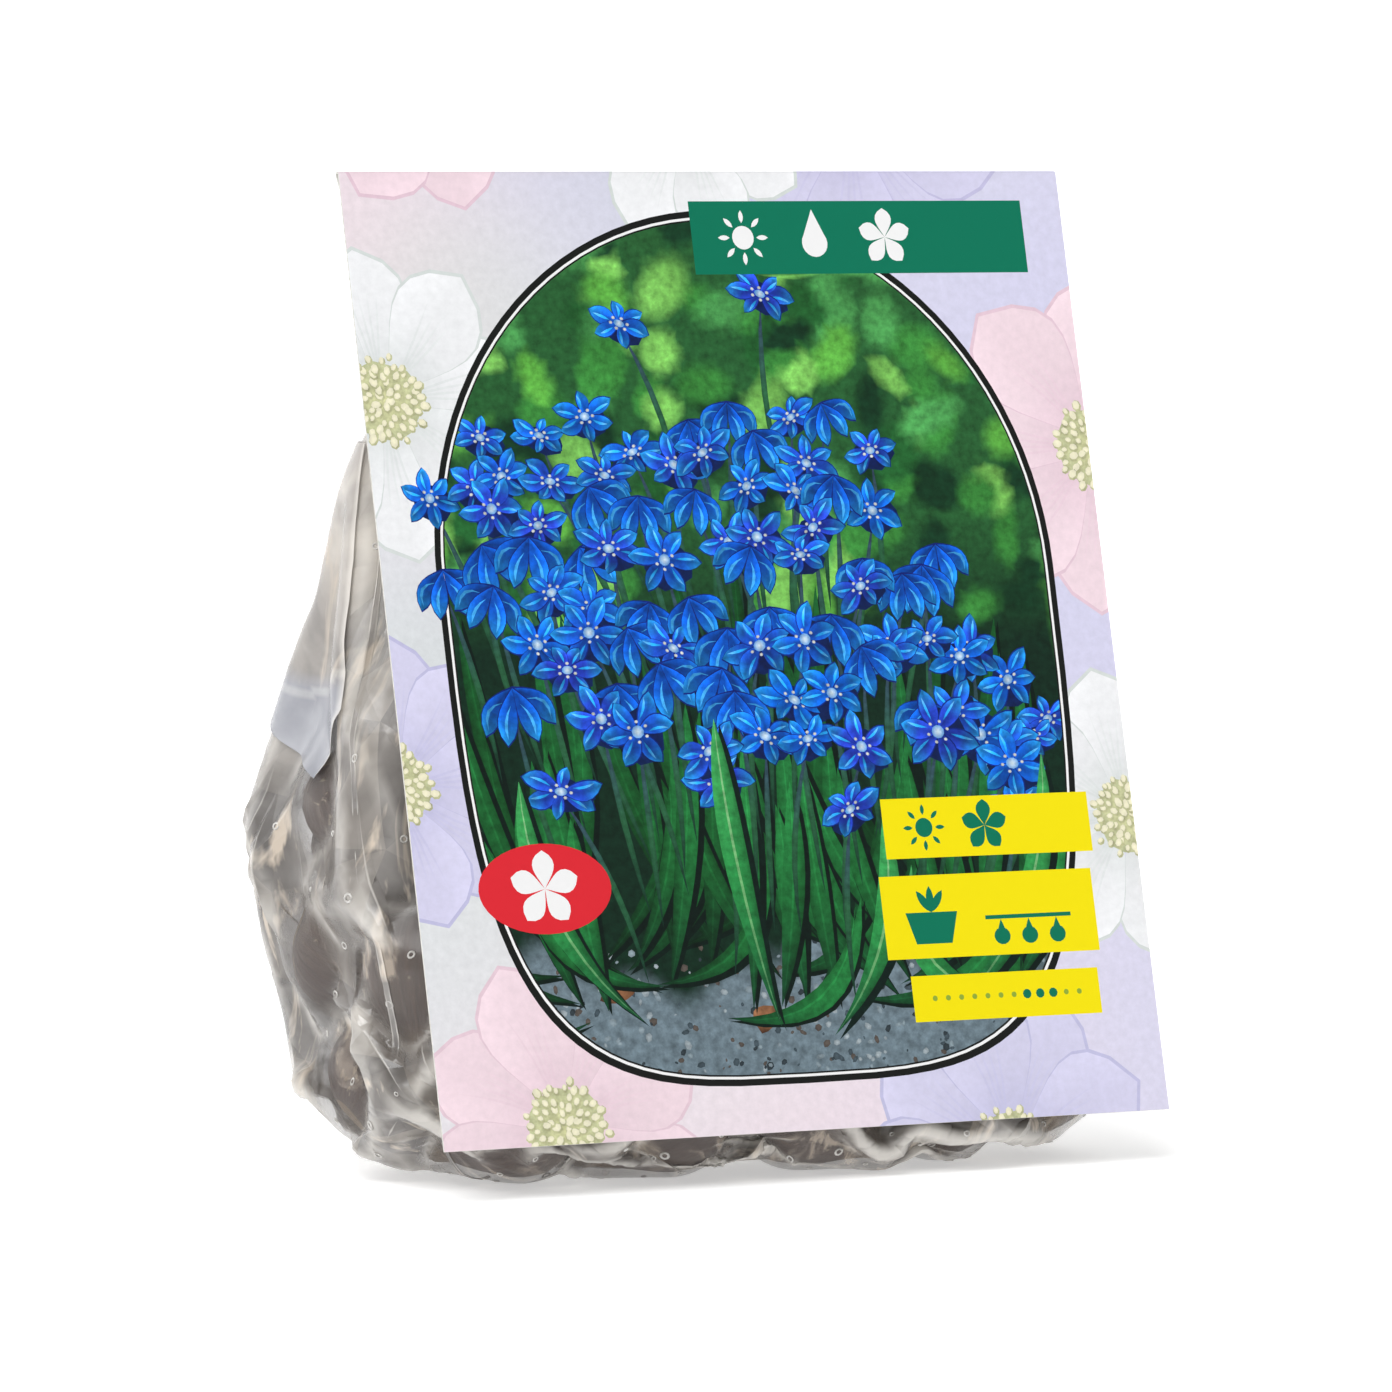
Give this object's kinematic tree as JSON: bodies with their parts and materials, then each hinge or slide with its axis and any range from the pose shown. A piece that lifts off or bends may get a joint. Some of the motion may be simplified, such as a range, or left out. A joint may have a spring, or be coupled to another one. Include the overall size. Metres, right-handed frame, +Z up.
{
  "type": "bag of flower bulbs with header card",
  "caption": "Clear film bag filled with small flower bulbs, its neck glued into the fold of a tall printed header card that leans back on the bag.",
  "frame": {"origin": "bottom centre of the bounding box, on the surface that the filled bag stands on", "axes": "+Z up, -Y out of the card's printed side, +X to the right across the card"},
  "size_m": [0.1512, 0.087, 0.1721],
  "materials": {
    "printed_board": "satin",
    "clear_film": "gloss",
    "melt_glue": "satin",
    "bulb_skin": "matte"
  },
  "bodies": {
    "root": {"header_card": "printed_board", "film_bag": "clear_film", "front_glue_strip": "melt_glue", "rear_glue_strip": "melt_glue", "bulb_01": "bulb_skin", "bulb_02": "bulb_skin", "bulb_03": "bulb_skin", "bulb_04": "bulb_skin", "bulb_05": "bulb_skin", "bulb_06": "bulb_skin", "bulb_07": "bulb_skin", "bulb_08": "bulb_skin", "bulb_09": "bulb_skin", "bulb_10": "bulb_skin", "bulb_11": "bulb_skin", "bulb_12": "bulb_skin", "bulb_13": "bulb_skin", "bulb_14": "bulb_skin", "bulb_15": "bulb_skin", "bulb_16": "bulb_skin", "bulb_17": "bulb_skin", "bulb_18": "bulb_skin", "bulb_19": "bulb_skin", "bulb_20": "bulb_skin", "bulb_21": "bulb_skin", "bulb_22": "bulb_skin", "bulb_23": "bulb_skin", "bulb_24": "bulb_skin", "bulb_25": "bulb_skin", "bulb_26": "bulb_skin", "bulb_27": "bulb_skin", "bulb_28": "bulb_skin", "bulb_29": "bulb_skin", "bulb_30": "bulb_skin", "bulb_31": "bulb_skin", "bulb_32": "bulb_skin", "bulb_33": "bulb_skin", "bulb_34": "bulb_skin", "bulb_35": "bulb_skin", "bulb_36": "bulb_skin", "bulb_37": "bulb_skin", "bulb_38": "bulb_skin", "bulb_39": "bulb_skin", "bulb_40": "bulb_skin"}
  },
  "joints": []
}
